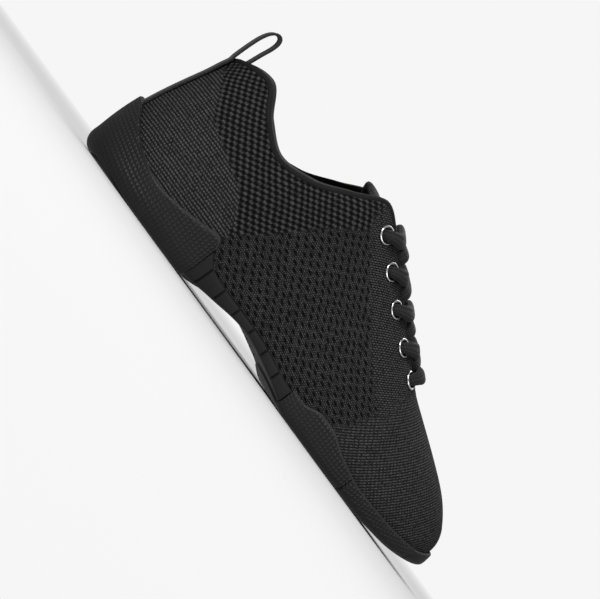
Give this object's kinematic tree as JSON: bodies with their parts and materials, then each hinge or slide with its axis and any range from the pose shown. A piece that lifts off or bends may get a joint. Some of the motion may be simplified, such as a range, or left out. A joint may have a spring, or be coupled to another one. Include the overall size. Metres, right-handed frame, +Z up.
{
  "type": "cheerleading shoe",
  "caption": "Low knitted cheer and dance training shoe for the right foot, with a split rubber sole, ribbed arch, inlaid turning patches, metal eyelets, lace and heel pull loop.",
  "frame": {"origin": "on the floor, under the middle of the shoe's bounding box", "axes": "+X from heel to toe, +Y to the inner (medial) side, +Z up from the floor"},
  "size_m": [0.2655, 0.0923, 0.103],
  "materials": {
    "knit": "matte",
    "rubber": "matte",
    "inlay": "satin",
    "lining": "matte",
    "lace": "matte",
    "metal": "polished"
  },
  "bodies": {
    "root": {"upper": "knit", "tongue": "knit", "insole": "lining", "heel_pad": "rubber", "arch_bridge": "rubber", "forefoot_pad": "rubber", "heel_patch": "inlay", "ball_patch": "inlay", "toe_patch": "inlay", "eyelet_lateral_1": "metal", "eyelet_lateral_2": "metal", "eyelet_lateral_3": "metal", "eyelet_lateral_4": "metal", "eyelet_lateral_5": "metal", "eyelet_medial_1": "metal", "eyelet_medial_2": "metal", "eyelet_medial_3": "metal", "eyelet_medial_4": "metal", "eyelet_medial_5": "metal", "lace": "lace", "pull_loop": "lace"}
  },
  "joints": []
}
